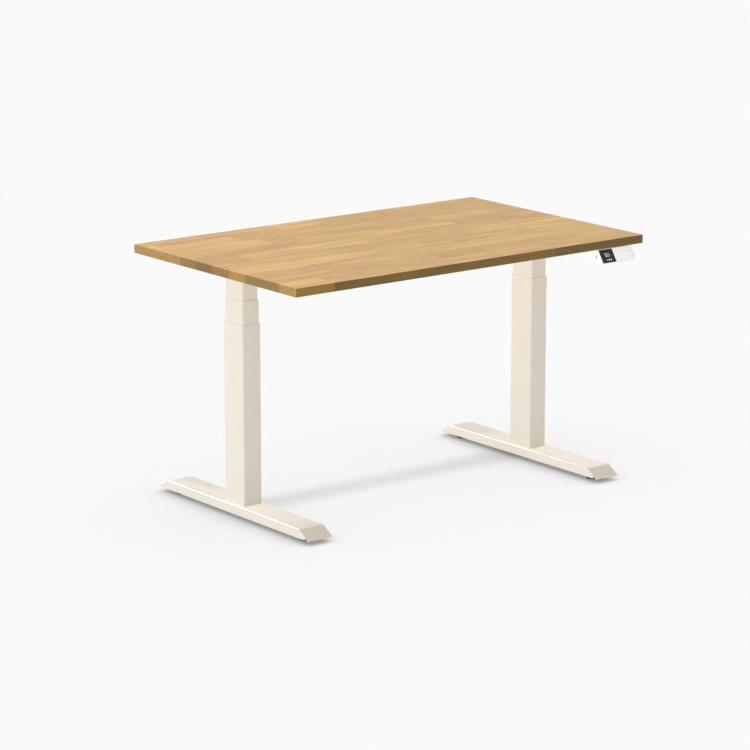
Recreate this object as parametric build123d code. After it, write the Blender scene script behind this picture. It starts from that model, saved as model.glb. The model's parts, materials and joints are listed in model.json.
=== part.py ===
"""Height adjustable standing desk: two three-stage lifting columns on flat steel feet,
carrying a solid staved timber top, with a paddle handset under the front edge.

Frame: X runs along the desktop, -Y is the user's side, Z is up and the floor is z = 0.
Everything is drawn about the middle of the desktop. The origin lies under the middle of
the whole outline, which the handset stretches forward, so the last step shifts all by FRAME_Y.
Units are millimetres. The desk is drawn 110 mm above its lowest height.
"""
import os
from math import cos, radians, sin

from build123d import *

# Desktop
TOP_W, TOP_D, TOP_T = 1200.0, 750.0, 24.0
TOP_Z = 705.0
UNDER_Z = TOP_Z - TOP_T
ARRIS = 0.8

# Feet and levelling pads
COLUMN_X = 506.0
FOOT_W, FOOT_TOP, FOOT_LOW, FOOT_STEEL = 80.0, 38.5, 13.3, 2.5
FOOT_FLAT_Y, FOOT_TIP_Y, FOOT_WALL_Y = 308.0, 349.5, 332.0
PAD_Y, PAD_R, PAD_T = 290.0, 20.0, 10.0
STUD_R, STUD_TOP = 4.0, 35.9
WELD_NUT_T, WELD_NUT_AF = 7.0, 13.0

# Column tubes: X size, Y size, outer corner radius, all of the same sheet
OUTER = (60.0, 90.0, 5.0)
MIDDLE = (55.0, 85.0, 4.5)
INNER = (50.0, 80.0, 4.0)
WALL = 1.5
OUTER_TOP, MIDDLE_LOW, MIDDLE_TOP, INNER_LOW, INNER_TOP = 540.0, 107.0, 604.0, 190.0, 673.5
COLLAR_T, SKIRT_T, SKIRT_H = 3.0, 0.7, 20.0
SLIDE_T, SLIDE_H = 0.8, 40.0
BASE_PLATE_T = 6.0

# Lifting screws
BASE_SCREW_R, BASE_BORE_R, BASE_SCREW_TOP = 8.0, 5.2, 415.0
LIFT_R, LIFT_BORE_R, LIFT_LOW, LIFT_TOP, LIFT_CAP_T = 13.0, 8.6, 108.5, 500.0, 10.0
LIFT_END_NUT_R, LIFT_END_NUT_H = 8.2, 16.0
BEARING_LOW, BEARING_T = 112.0, 12.0
THRUST_R, THRUST_T, THRUST_GAP = 17.0, 3.0, 0.5
NUT_T, THREAD_GAP = 20.0, 0.4
HEX_AF, HEX_GAP, HEX_LOW = 8.0, 0.3, 205.0
MOTOR_R, MOTOR_LOW, MOTOR_FLANGE_T = 21.0, 560.0, 8.0

# Top frame
HEAD_T, HEAD_IN, HEAD_OUT, HEAD_HALF_Y = 5.0, 400.0, 536.0, 70.0
BRACKET_T, BRACKET_HALF_Y, BRACKET_HALF_X, BRACKET_LOW = 2.5, 288.0, 35.0, 666.0
SLEEVE_Y, SLEEVE_Z, SLEEVE_WALL, SLEEVE_IN, SLEEVE_OUT = 60.0, 32.0, 2.0, 130.0, 472.0
BEAM_GAP, BEAM_HALF = 0.3, 280.0
BEAM_SCREW_X = (170.0, 240.0)

# Fasteners
M6_R, M6_HOLE_R, M6_HEAD_R, M6_HEAD_T = 3.0, 3.2, 5.5, 4.0
WOOD_R, WOOD_HOLE_R, WOOD_HEAD_R, WOOD_HEAD_T, WOOD_IN = 2.0, 2.15, 4.0, 2.0, 14.0
BRACKET_SCREW_Y = (105.0, 190.0, 265.0)
HEAD_SCREW_Y = 58.0

# Control box
BOX_X, BOX_Y, BOX_LOW = (-60.0, 190.0), (120.0, 220.0), 641.0
BOX_SKIN, TRAY_T, TRAY_TAB = 2.5, 3.0, 18.0
SOCKET_X = (-25.0, 20.0, 65.0, 140.0)

# Handset: a face sloping down and out from the desktop's front edge
HAND_ANGLE = 57.0
HAND_X0, HAND_X1 = 432.0, 556.0
GLASS_X0, GLASS_X1 = 434.0, 483.4
PADDLE_X0, PADDLE_X1, PADDLE_GAP = 490.4, 552.8, 0.4
HAND_CORNER = 7.0
FACE_LEN, RIDGE_S = 41.2, 17.5
GLASS_T, RECESS, PADDLE_T, BOARD_DEPTH = 2.0, 6.6, 3.2, 12.0
PIN_R, PIN_DEPTH = 1.5, 8.0
HAND_BACK_Y, HAND_TAB_Y, HAND_TAB_T = -340.0, -305.0, 3.0
HAND_SCREW_X = (458.0, 530.0)
HAND_REACH = FACE_LEN * cos(radians(HAND_ANGLE))

FRAME_Y = HAND_REACH / 2


# ---------------------------------------------------------------- shape helpers
def slab(x, y, z):
    """Box between the pairs x, y and z."""
    size = (x[1] - x[0], y[1] - y[0], z[1] - z[0])
    middle = (sum(x) / 2, sum(y) / 2, sum(z) / 2)
    return Pos(*middle) * Box(*size)


def post(radius, low, high, x=0.0, y=0.0):
    """Upright round bar from low to high."""
    return Pos(x, y, (low + high) / 2) * Cylinder(radius, high - low)


def hexagon(across_flats, low, high, x=0.0, y=0.0):
    """Upright six-sided bar."""
    outline = RegularPolygon(across_flats / 2 / cos(radians(30)), 6)
    return Pos(x, y, low) * extrude(outline, high - low)


def ring(outside, inside, low, high):
    """Upright rectangular ring; each outline is X size, Y size, corner radius."""
    sketch = RectangleRounded(*outside) - RectangleRounded(*inside)
    return Pos(0, 0, low) * extrude(sketch, high - low)


def inset(outline, by):
    """The same rounded rectangle drawn smaller all round."""
    width, depth, corner = outline
    return (width - 2 * by, depth - 2 * by, max(corner - by, 0.6))


def side_profile(points, x0, x1):
    """Solid with the (y, z) outline of points between two X positions."""
    face = make_face(Polyline(*[(0, y, z) for y, z in points], close=True))
    return Pos(x0, 0, 0) * extrude(face, x1 - x0, dir=(1, 0, 0))


def on_column(shape, side):
    """Move a part drawn at x = 0 onto the left (-1) or right (+1) column."""
    return Pos(side * COLUMN_X, 0, 0) * shape


def handed(shape, side):
    """Parts of the top frame are drawn for the right column; the left ones are mirrored."""
    return shape if side > 0 else mirror(shape, about=Plane.YZ)


def save(name, shape):
    """One STEP file for one named piece, in the desk's frame."""
    shape = Pos(0, FRAME_Y, 0) * shape
    shape.label = name
    export_step(shape, f"parts/{name}.step")


# ---------------------------------------------------------------- feet
def foot():
    """Folded steel channel, open underneath, its ends bent down into sloping lips."""
    outline = [
        (-FOOT_TIP_Y, FOOT_LOW),
        (-FOOT_FLAT_Y, FOOT_TOP),
        (FOOT_FLAT_Y, FOOT_TOP),
        (FOOT_TIP_Y, FOOT_LOW),
    ]
    slope = (FOOT_TOP - FOOT_LOW) / (FOOT_TIP_Y - FOOT_FLAT_Y)
    back = FOOT_STEEL * (1 + slope**2) ** 0.5 / slope
    turn = back - FOOT_STEEL / slope
    hollow = [
        (-FOOT_TIP_Y + back, FOOT_LOW),
        (-FOOT_FLAT_Y + turn, FOOT_TOP - FOOT_STEEL),
        (FOOT_FLAT_Y - turn, FOOT_TOP - FOOT_STEEL),
        (FOOT_TIP_Y - back, FOOT_LOW),
    ]
    body = side_profile(outline, -FOOT_W / 2, FOOT_W / 2)
    long_edges = body.edges().filter_by(Axis.Y).group_by(Axis.Z)[-1]
    body = fillet(long_edges, FOOT_STEEL * 0.9)
    body -= side_profile(hollow, -FOOT_W / 2 + FOOT_STEEL, FOOT_W / 2 - FOOT_STEEL)
    lip_room = side_profile(hollow, -FOOT_W, FOOT_W)
    body -= lip_room - slab((-FOOT_W, FOOT_W), (-FOOT_WALL_Y, FOOT_WALL_Y), (0, FOOT_TOP))
    for x, y in foot_bolt_spots():
        body -= post(M6_HOLE_R, FOOT_LOW, FOOT_TOP + 1, x, y)
    for y in (-PAD_Y, PAD_Y):
        body -= post(STUD_R + 0.5, FOOT_TOP - FOOT_STEEL - 1, FOOT_TOP - FOOT_STEEL + 1, 0, y)
    return body


def foot_bolt_spots():
    """Four bolts in a rectangle inside the outer tube."""
    return [(x, y) for x in (-17.0, 17.0) for y in (-30.0, 30.0)]


def foot_bolts():
    """Hexagon bolts pushed up through the foot into the tube's base plate, both feet."""
    under = FOOT_TOP - FOOT_STEEL
    bolts = []
    for side in (-1, 1):
        for x, y in foot_bolt_spots():
            head = hexagon(10.0, under - M6_HEAD_T, under, x, y)
            shank = post(M6_R, under - 1, FOOT_TOP + BASE_PLATE_T, x, y)
            bolts.append(on_column(head + shank, side))
    return Compound(children=bolts)


def foot_weld_nuts():
    """Hexagon nuts welded under each foot, in which the levelling studs turn."""
    under = FOOT_TOP - FOOT_STEEL
    nuts = []
    for side in (-1, 1):
        for y in (-PAD_Y, PAD_Y):
            nut = hexagon(WELD_NUT_AF, under - WELD_NUT_T, under, 0, y)
            nut -= post(STUD_R + 0.2, under - WELD_NUT_T - 1, under + 1, 0, y)
            nuts.append(on_column(nut, side))
    return Compound(children=nuts)


def leveller_pad(y):
    """Moulded disc that stands on the floor, with a blind hole for the stud's ball."""
    pad = post(PAD_R, 0, PAD_T, 0, y)
    pad = chamfer(pad.edges().group_by(Axis.Z)[-1], 2.0)
    pad = fillet(pad.edges().group_by(Axis.Z)[0], 1.0)
    return pad - post(STUD_R + 1.0, PAD_T - 5.0, PAD_T + 1, 0, y)


def leveller_stud(y):
    """Threaded stud with a hexagon for the spanner just above the pad."""
    stud = post(STUD_R, PAD_T - 1, STUD_TOP, 0, y)
    stud += post(STUD_R + 1.0, PAD_T - 5.0, PAD_T, 0, y)
    return stud + hexagon(12.0, PAD_T, PAD_T + 5.0, 0, y)


# ---------------------------------------------------------------- columns
def outer_tube():
    """Lowest and widest tube, welded to the plate that the foot bolts pull down."""
    tube = ring(OUTER, inset(OUTER, WALL), FOOT_TOP, OUTER_TOP - COLLAR_T)
    plate = Pos(0, 0, FOOT_TOP) * extrude(RectangleRounded(*inset(OUTER, WALL / 2)), BASE_PLATE_T)
    for x, y in foot_bolt_spots():
        plate -= post(M6_HOLE_R, FOOT_TOP - 1, FOOT_TOP + BASE_PLATE_T + 1, x, y)
    return tube + plate


def middle_tube():
    """Middle tube, open at both ends."""
    return ring(MIDDLE, inset(MIDDLE, WALL), MIDDLE_LOW, MIDDLE_TOP - COLLAR_T)


def inner_tube():
    """Uppermost and narrowest tube."""
    return ring(INNER, inset(INNER, WALL), INNER_LOW, INNER_TOP)


def collar(outline, top):
    """Moulded rim on the end of a tube, with a skirt filling the gap to the next tube."""
    socket = inset(outline, WALL)
    opening = inset(socket, SKIRT_T)
    rim = ring(outline, opening, top - COLLAR_T, top)
    rim = chamfer(rim.faces().sort_by(Axis.Z)[-1].outer_wire().edges(), 0.9)
    return rim + ring(socket, opening, top - COLLAR_T - SKIRT_H, top - COLLAR_T)


def slides(outline, low):
    """Band of hard plastic round the lower end of a tube, running in the tube outside it."""
    return ring(inset(outline, -SLIDE_T), outline, low, low + SLIDE_H)


def base_spindle():
    """Hollow fixed screw standing on the base plate inside the column."""
    low = FOOT_TOP + BASE_PLATE_T
    screw = post(BASE_SCREW_R, low, BASE_SCREW_TOP) + post(14.0, low, low + 4.0)
    return screw - post(BASE_BORE_R, low - 1, BASE_SCREW_TOP + 1)


def lift_spindle():
    """Hollow turning screw: runs on the base screw inside, drives the nut outside."""
    screw = post(LIFT_R, LIFT_LOW, LIFT_TOP)
    bearing_top = BEARING_LOW + BEARING_T + THRUST_GAP
    screw += post(THRUST_R, LIFT_LOW, LIFT_LOW + THRUST_T)
    screw += post(THRUST_R, bearing_top, bearing_top + THRUST_T)
    screw -= post(LIFT_END_NUT_R, LIFT_LOW - 1, LIFT_LOW + LIFT_END_NUT_H)
    screw -= post(LIFT_BORE_R, LIFT_LOW + LIFT_END_NUT_H - 1, LIFT_TOP - LIFT_CAP_T)
    return screw - hexagon(HEX_AF + HEX_GAP, LIFT_TOP - LIFT_CAP_T - 1, LIFT_TOP + 1)


def middle_bearing():
    """Plate across the foot of the middle tube in which the lifting screw turns."""
    outline = inset(inset(MIDDLE, WALL), 0.1)
    plate = Pos(0, 0, BEARING_LOW) * extrude(RectangleRounded(*outline), BEARING_T)
    return plate - post(LIFT_R + 0.1, BEARING_LOW - 1, BEARING_LOW + BEARING_T + 1)


def inner_nut():
    """Flanged nut closing the foot of the inner tube."""
    outline = inset(inset(INNER, WALL), 0.1)
    nut = Pos(0, 0, INNER_LOW) * extrude(RectangleRounded(*outline), NUT_T / 2)
    nut += post(LIFT_R + 7.0, INNER_LOW, INNER_LOW + NUT_T)
    return nut - post(LIFT_R + THREAD_GAP, INNER_LOW - 1, INNER_LOW + NUT_T + 1)


def gearmotor():
    """Slim motor with its gearbox below, filling the top of the inner tube."""
    outline = inset(inset(INNER, WALL), 0.1)
    flange = Pos(0, 0, MOTOR_LOW) * extrude(RectangleRounded(*outline), MOTOR_FLANGE_T)
    body = post(MOTOR_R, MOTOR_LOW + MOTOR_FLANGE_T, MOTOR_LOW + 60.0)
    can = post(MOTOR_R - 2.0, MOTOR_LOW + 60.0, INNER_TOP - 6.0)
    boss = post(8.0, INNER_TOP - 6.0, INNER_TOP)
    motor = flange + body + can + boss
    return motor - post(HEX_AF * 0.75, MOTOR_LOW - 1, MOTOR_LOW + 12.0)


def hex_shaft():
    """Six-sided shaft hanging from the gearbox; it slides in the lifting screw's cap."""
    return hexagon(HEX_AF, HEX_LOW, MOTOR_LOW + 11.5)


# ---------------------------------------------------------------- top frame
def head_plate():
    """Plate welded on the inner tube, with a tongue reaching in over the beam sleeve."""
    low = INNER_TOP
    pad = slab((HEAD_OUT - 60.0, HEAD_OUT), (-HEAD_HALF_Y, HEAD_HALF_Y), (low, low + HEAD_T))
    tongue = slab((HEAD_IN, HEAD_OUT - 60.0), (-SLEEVE_Y / 2, SLEEVE_Y / 2), (low, low + HEAD_T))
    plate = fillet((pad + tongue).edges().filter_by(Axis.Z), 5.0)
    for x, y in head_screw_spots():
        plate -= post(M6_HOLE_R, low - 1, low + HEAD_T + 1, x, y)
    return plate


def head_screw_spots():
    """Four machine screws tie the head plate to the side bracket."""
    return [(COLUMN_X + x, y) for x in (-18.0, 18.0) for y in (-HEAD_SCREW_Y, HEAD_SCREW_Y)]


def bracket_screw_spots():
    """Six wood screws hold each side bracket under the desktop."""
    return [(COLUMN_X, sign * y) for y in BRACKET_SCREW_Y for sign in (-1, 1)]


def side_bracket():
    """Long folded sheet under the desktop, its flanges tapering off towards both ends."""
    low = UNDER_Z - BRACKET_T
    x0, x1 = COLUMN_X - BRACKET_HALF_X, COLUMN_X + BRACKET_HALF_X
    sheet = slab((x0, x1), (-BRACKET_HALF_Y, BRACKET_HALF_Y), (low, UNDER_Z))
    sheet = fillet(sheet.edges().filter_by(Axis.Z), 12.0)
    flange = [
        (-BRACKET_HALF_Y + 20.0, low + 0.5),
        (-150.0, BRACKET_LOW),
        (150.0, BRACKET_LOW),
        (BRACKET_HALF_Y - 20.0, low + 0.5),
    ]
    sheet += side_profile(flange, x0, x0 + BRACKET_T)
    sheet += side_profile(flange, x1 - BRACKET_T, x1)
    notch = slab((x0 - 1, x0 + BRACKET_T + 1), (-SLEEVE_Y / 2 - 2, SLEEVE_Y / 2 + 2), (0, low))
    sheet -= notch
    for x, y in head_screw_spots():
        sheet -= post(M6_HOLE_R, low - 1, UNDER_Z + 1, x, y)
    for x, y in bracket_screw_spots():
        sheet -= post(WOOD_R + 0.5, low - 1, UNDER_Z + 1, x, y)
    return sheet


def hollow_bar(x0, x1, size_y, size_z, middle_z, wall):
    """Rectangular tube lying along X."""
    bar = slab((x0, x1), (-size_y / 2, size_y / 2), (middle_z - size_z / 2, middle_z + size_z / 2))
    bar = fillet(bar.edges().filter_by(Axis.X), 2.5)
    hole_y, hole_z = size_y / 2 - wall, size_z / 2 - wall
    return bar - slab((x0 - 1, x1 + 1), (-hole_y, hole_y), (middle_z - hole_z, middle_z + hole_z))


def beam_sleeve():
    """Fixed end of the crossbeam, welded under the head plate's tongue."""
    middle = INNER_TOP - SLEEVE_Z / 2
    sleeve = hollow_bar(SLEEVE_IN, SLEEVE_OUT, SLEEVE_Y, SLEEVE_Z, middle, SLEEVE_WALL)
    for x in BEAM_SCREW_X:
        sleeve -= post(M6_HOLE_R, INNER_TOP - SLEEVE_Z - 1, INNER_TOP - SLEEVE_Z + SLEEVE_WALL + 1, x)
    return sleeve


def centre_beam():
    """Sliding middle of the crossbeam, locked in both sleeves by screws from below."""
    shrink = 2 * (SLEEVE_WALL + BEAM_GAP)
    middle = INNER_TOP - SLEEVE_Z / 2
    beam = hollow_bar(-BEAM_HALF, BEAM_HALF, SLEEVE_Y - shrink, SLEEVE_Z - shrink, middle, SLEEVE_WALL)
    for x in BEAM_SCREW_X:
        for side in (-1, 1):
            beam -= post(M6_HOLE_R, INNER_TOP - SLEEVE_Z, middle - 5.0, side * x)
    return beam


def machine_screws():
    """Button-head screws: head plates to side brackets, and the beam's locking screws."""
    screws = []
    for side in (-1, 1):
        for x, y in head_screw_spots():
            head = post(M6_HEAD_R, INNER_TOP - M6_HEAD_T, INNER_TOP, side * x, y)
            head = fillet(head.edges().group_by(Axis.Z)[0], 1.5)
            screws.append(head + post(M6_R, INNER_TOP - 1, UNDER_Z - 0.5, side * x, y))
        for x in BEAM_SCREW_X:
            low = INNER_TOP - SLEEVE_Z
            head = post(M6_HEAD_R, low - M6_HEAD_T, low, side * x)
            head = fillet(head.edges().group_by(Axis.Z)[0], 1.5)
            screws.append(head + post(M6_R, low - 1, low + 8.0, side * x))
    return Compound(children=screws)


# ---------------------------------------------------------------- desktop
def wood_screw_spots():
    """Every wood screw as x, y and the height its head bears against."""
    low = UNDER_Z - BRACKET_T
    spots = [(side * x, y, low) for side in (-1, 1) for x, y in bracket_screw_spots()]
    spots += [(x, sum(BOX_Y) / 2, UNDER_Z - TRAY_T) for x in (BOX_X[0] - 9.0, BOX_X[1] + 9.0)]
    return spots + [(x, HAND_TAB_Y - 14.0, UNDER_Z - HAND_TAB_T) for x in HAND_SCREW_X]


def wood_screws():
    """Pan-head wood screws driven up into the desktop."""
    screws = []
    for x, y, seat in wood_screw_spots():
        head = post(WOOD_HEAD_R, seat - WOOD_HEAD_T, seat, x, y)
        head = fillet(head.edges().group_by(Axis.Z)[0], 1.2)
        screws.append(head + post(WOOD_R, seat - 1, UNDER_Z + WOOD_IN, x, y))
    return Compound(children=screws)


def desktop():
    """Solid glued-up timber panel with its edges just broken, drilled for the screws."""
    top = slab((-TOP_W / 2, TOP_W / 2), (-TOP_D / 2, TOP_D / 2), (UNDER_Z, TOP_Z))
    top = chamfer(top.edges(), ARRIS)
    for x, y, _ in wood_screw_spots():
        top -= post(WOOD_HOLE_R, UNDER_Z - 1, UNDER_Z + WOOD_IN + 0.5, x, y)
    return top


# ---------------------------------------------------------------- control box
def control_box_tray():
    """Flat moulded lid of the control box, its end tabs screwed up to the desktop."""
    low = UNDER_Z - TRAY_T
    tray = slab(BOX_X, BOX_Y, (low, UNDER_Z))
    mid = sum(BOX_Y) / 2
    tray += slab((BOX_X[0] - TRAY_TAB, BOX_X[1] + TRAY_TAB), (mid - 15.0, mid + 15.0), (low, UNDER_Z))
    tray = fillet(tray.edges().filter_by(Axis.Z), 4.0)
    for x in (BOX_X[0] - 9.0, BOX_X[1] + 9.0):
        tray -= post(WOOD_R + 0.5, low - 1, UNDER_Z + 1, x, mid)
    return tray


def control_box_cover():
    """Moulded case hanging from the tray, with openings for its sockets at the front."""
    high = UNDER_Z - TRAY_T
    case = slab(BOX_X, BOX_Y, (BOX_LOW, high))
    case = fillet(case.edges().filter_by(Axis.Z) + case.faces().sort_by(Axis.Z)[0].edges(), 4.0)
    case -= slab(
        (BOX_X[0] + BOX_SKIN, BOX_X[1] - BOX_SKIN),
        (BOX_Y[0] + BOX_SKIN, BOX_Y[1] - BOX_SKIN),
        (BOX_LOW + BOX_SKIN, high + 1),
    )
    for x in SOCKET_X:
        case -= slab((x - 10.2, x + 10.2), (BOX_Y[0] - 1, BOX_Y[0] + BOX_SKIN + 1), (652.8, 669.2))
    return case


def control_board():
    """Power board on the floor of the control box."""
    low = BOX_LOW + BOX_SKIN
    gap = BOX_SKIN + 2.0
    board = slab((BOX_X[0] + gap, BOX_X[1] - gap), (BOX_Y[0] + 22.0, BOX_Y[1] - gap), (low + 4.0, low + 5.6))
    for x in (BOX_X[0] + 12.0, BOX_X[1] - 12.0):
        for y in (BOX_Y[0] + 30.0, BOX_Y[1] - 12.0):
            board += post(3.0, low, low + 4.5, x, y)
    board += slab((-30.0, 20.0), (160.0, 200.0), (low + 5.0, low + 26.0))
    board += slab((50.0, 90.0), (165.0, 195.0), (low + 5.0, low + 20.0))
    for x in (115.0, 135.0, 155.0):
        board += post(7.0, low + 5.0, low + 25.0, x, 180.0)
    return board


def control_box_sockets():
    """Row of open sockets in the case: two columns, the handset and the mains inlet."""
    sockets = []
    for x in SOCKET_X:
        shell = slab((x - 10.0, x + 10.0), (BOX_Y[0] - 1.0, BOX_Y[0] + 18.0), (653.0, 669.0))
        shell -= slab((x - 7.5, x + 7.5), (BOX_Y[0] - 2.0, BOX_Y[0] + 12.0), (655.5, 666.5))
        for pin in (-4.0, 0.0, 4.0):
            shell += slab((x + pin - 0.7, x + pin + 0.7), (BOX_Y[0] + 3.0, BOX_Y[0] + 13.0), (660.0, 662.0))
        sockets.append(shell)
    return Compound(children=sockets)


# ---------------------------------------------------------------- handset
def face_frame():
    """Plane of the handset's face: x along the desk, y up the slope, z outwards."""
    tilt = radians(HAND_ANGLE)
    outward = (0, -sin(tilt), cos(tilt))
    return Plane(origin=(0, -TOP_D / 2, UNDER_Z), x_dir=(1, 0, 0), z_dir=outward)


def on_face(x, s, depth):
    """Box in the face's own directions: s runs down the slope, depth goes inwards."""
    box = slab(x, (-s[1], -s[0]), (-depth[1], -depth[0]))
    return face_frame().location * box


def face_profile(points, x0, x1):
    """Solid of the (down the slope, outwards) outline of points between two X positions."""
    face = make_face(Polyline(*[(0, -s, out) for s, out in points], close=True))
    bar = Pos(x0, 0, 0) * extrude(face, x1 - x0, dir=(1, 0, 0))
    return face_frame().location * bar


def pin_bar(radius, x0, x1):
    """Round bar along the paddle's pivot line."""
    bar = Pos((x0 + x1) / 2, -RIDGE_S, -PIN_DEPTH) * Rot(0, 90, 0) * Cylinder(radius, x1 - x0)
    return face_frame().location * bar


def lower_corner():
    """What is trimmed off the face's lower outer corner to round it."""
    corner = slab((HAND_X1 - HAND_CORNER, HAND_X1 + 1), (-FACE_LEN - 9, -FACE_LEN + HAND_CORNER), (-12, 10))
    corner -= Pos(HAND_X1 - HAND_CORNER, -FACE_LEN + HAND_CORNER, 0) * Cylinder(HAND_CORNER, 40)
    return face_frame().location * corner


def housing_outline():
    """Side view of the handset: sloping face, thin lip, flat bottom and upright back."""
    tilt = radians(HAND_ANGLE)
    front, low = -TOP_D / 2 - HAND_REACH, UNDER_Z - FACE_LEN * sin(tilt)
    lip = 7.0
    return [
        (-TOP_D / 2, UNDER_Z),
        (front, low),
        (front + lip * sin(tilt), low - lip * cos(tilt)),
        (HAND_BACK_Y - 14.0, low - lip * cos(tilt)),
        (HAND_BACK_Y, low + 8.0),
        (HAND_BACK_Y, UNDER_Z),
    ]


def handset_housing():
    """Moulded body: frame round the display and the paddle, hollow for the board."""
    body = side_profile(housing_outline(), HAND_X0, HAND_X1) - lower_corner()
    for x in HAND_SCREW_X:
        seat = UNDER_Z - HAND_TAB_T
        tab = slab((x - 12.0, x + 12.0), (HAND_BACK_Y - 1.0, HAND_TAB_Y), (seat, UNDER_Z))
        tab = fillet(tab.edges().filter_by(Axis.Z).group_by(Axis.Y)[-1], 8.0)
        body += tab - post(WOOD_R + 0.5, seat - 1, UNDER_Z + 1, x, HAND_TAB_Y - 14.0)
    recess_x = (PADDLE_X0 - PADDLE_GAP, PADDLE_X1 + PADDLE_GAP)
    low_s = FACE_LEN - 8.0
    body -= on_face((GLASS_X0, GLASS_X1), (1.0, FACE_LEN + 1.0), (-1.0, GLASS_T))
    body -= on_face(recess_x, (-4.0, FACE_LEN + 10.0), (-1.0, RECESS))
    body -= on_face((GLASS_X0 + 6.0, GLASS_X1 - 1.5), (4.0, low_s), (GLASS_T - 0.5, BOARD_DEPTH + 3.0))
    body -= on_face((PADDLE_X0 + 2.0, PADDLE_X1 - 2.0), (6.0, low_s), (RECESS - 1.0, BOARD_DEPTH + 3.0))
    body -= on_face((GLASS_X1 - 4.0, PADDLE_X0 + 4.0), (12.0, 28.0), (10.0, BOARD_DEPTH + 3.0))
    body -= pin_bar(PIN_R + 0.1, PADDLE_X0 - 4.0, PADDLE_X1 + 2.0)
    return body - usb_block(HAND_X0 - 1.0, HAND_X0 + 9.0, 0.0)


def usb_block(x0, x1, shrink):
    """Upright rounded block of the charging port's outline."""
    port = slab((x0, x1), (-371.6 + shrink, -367.8 - shrink), (656.0 + shrink, 665.4 - shrink))
    return fillet(port.edges().filter_by(Axis.X), 1.2)


def usb_port():
    """Open metal shell of the charging port, with its tongue."""
    shell = usb_block(HAND_X0 + 0.3, HAND_X0 + 8.5, 0.05)
    shell -= usb_block(HAND_X0 - 1.0, HAND_X0 + 7.0, 0.5)
    return shell + slab((HAND_X0 + 2.0, HAND_X0 + 8.0), (-370.1, -369.3), (657.9, 663.5))


def display_glass():
    """Dark glazed panel covering the display end of the face."""
    return on_face((GLASS_X0 + 0.1, GLASS_X1 - 0.1), (1.1, FACE_LEN), (0.0, GLASS_T))


def handset_board():
    """Circuit board with the display module and the paddle's two switches."""
    depth = (BOARD_DEPTH, BOARD_DEPTH + 1.6)
    board = on_face((GLASS_X0 + 8.0, GLASS_X1 - 2.0), (5.0, 32.0), depth)
    board += on_face((GLASS_X1 - 3.0, PADDLE_X0 + 4.0), (13.0, 27.0), depth)
    board += on_face((PADDLE_X0 + 3.0, PADDLE_X1 - 3.0), (7.0, 32.0), depth)
    board += on_face((GLASS_X0 + 9.0, GLASS_X1 - 6.0), (8.0, 26.0), (GLASS_T, BOARD_DEPTH + 0.5))
    for s in (9.0, 27.5):
        board += on_face((517.0, 523.0), (s, s + 4.0), (RECESS + 0.6, BOARD_DEPTH + 0.5))
    return board


def paddle():
    """Rocker the user lifts or presses: a plate with a ridge across it and two lugs."""
    outline = [
        (1.2, -PADDLE_T),
        (1.2, -0.6),
        (RIDGE_S - 3.0, -0.4),
        (RIDGE_S - 1.2, 1.6),
        (RIDGE_S + 1.2, 1.6),
        (RIDGE_S + 3.0, -0.4),
        (FACE_LEN - 0.8, 0.0),
        (FACE_LEN, -0.8),
        (FACE_LEN, -PADDLE_T),
    ]
    plate = face_profile(outline, PADDLE_X0, PADDLE_X1) - lower_corner()
    for x in (PADDLE_X0 + 5.0, PADDLE_X1 - 9.0):
        lug = on_face((x, x + 4.0), (RIDGE_S - 3.5, RIDGE_S + 3.5), (PADDLE_T - 0.5, PIN_DEPTH))
        lug += pin_bar(3.5, x, x + 4.0)
        plate += lug
    return plate - pin_bar(PIN_R + 0.1, PADDLE_X0 - 1, PADDLE_X1 + 1)


def paddle_pin():
    """Steel pin held in the housing's walls, on which the paddle rocks."""
    return pin_bar(PIN_R, PADDLE_X0 - 3.6, PADDLE_X1 + 1.8)


# ---------------------------------------------------------------- everything, node by node
def build_column(word, side):
    """Foot, tubes, screws and motor of one column."""
    save(f"{word}_foot", on_column(foot(), side))
    for place, y in (("front", -PAD_Y), ("rear", PAD_Y)):
        save(f"{word}_{place}_leveller_pad", on_column(leveller_pad(y), side))
        save(f"{word}_{place}_leveller_stud", on_column(leveller_stud(y), side))
    save(f"{word}_outer_tube", on_column(outer_tube(), side))
    save(f"{word}_outer_collar", on_column(collar(OUTER, OUTER_TOP), side))
    save(f"{word}_middle_tube", on_column(middle_tube(), side))
    save(f"{word}_middle_collar", on_column(collar(MIDDLE, MIDDLE_TOP), side))
    save(f"{word}_middle_slides", on_column(slides(MIDDLE, MIDDLE_LOW + 5.0), side))
    save(f"{word}_middle_bearing", on_column(middle_bearing(), side))
    save(f"{word}_base_spindle", on_column(base_spindle(), side))
    save(f"{word}_lift_spindle", on_column(lift_spindle(), side))
    save(f"{word}_hex_shaft", on_column(hex_shaft(), side))
    save(f"{word}_inner_tube", on_column(inner_tube(), side))
    save(f"{word}_inner_slides", on_column(slides(INNER, INNER_LOW + 5.0), side))
    save(f"{word}_inner_nut", on_column(inner_nut(), side))
    save(f"{word}_gearmotor", on_column(gearmotor(), side))
    save(f"{word}_head_plate", handed(head_plate(), side))
    save(f"{word}_side_bracket", handed(side_bracket(), side))
    save(f"{word}_beam_sleeve", handed(beam_sleeve(), side))


os.makedirs("parts", exist_ok=True)
build_column("left", -1)
build_column("right", 1)
save("foot_bolts", foot_bolts())
save("foot_weld_nuts", foot_weld_nuts())
save("centre_beam", centre_beam())
save("machine_screws", machine_screws())
save("desktop", desktop())
save("wood_screws", wood_screws())
save("control_box_tray", control_box_tray())
save("control_box_cover", control_box_cover())
save("control_board", control_board())
save("control_box_sockets", control_box_sockets())
save("handset_housing", handset_housing())
save("display_glass", display_glass())
save("handset_board", handset_board())
save("usb_port", usb_port())
save("paddle_pin", paddle_pin())
save("paddle", paddle())
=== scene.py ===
"""Looks of the height adjustable standing desk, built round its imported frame, in metres."""

import json
import math
import random

import bmesh
import bpy
from mathutils import Matrix, Vector


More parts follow.
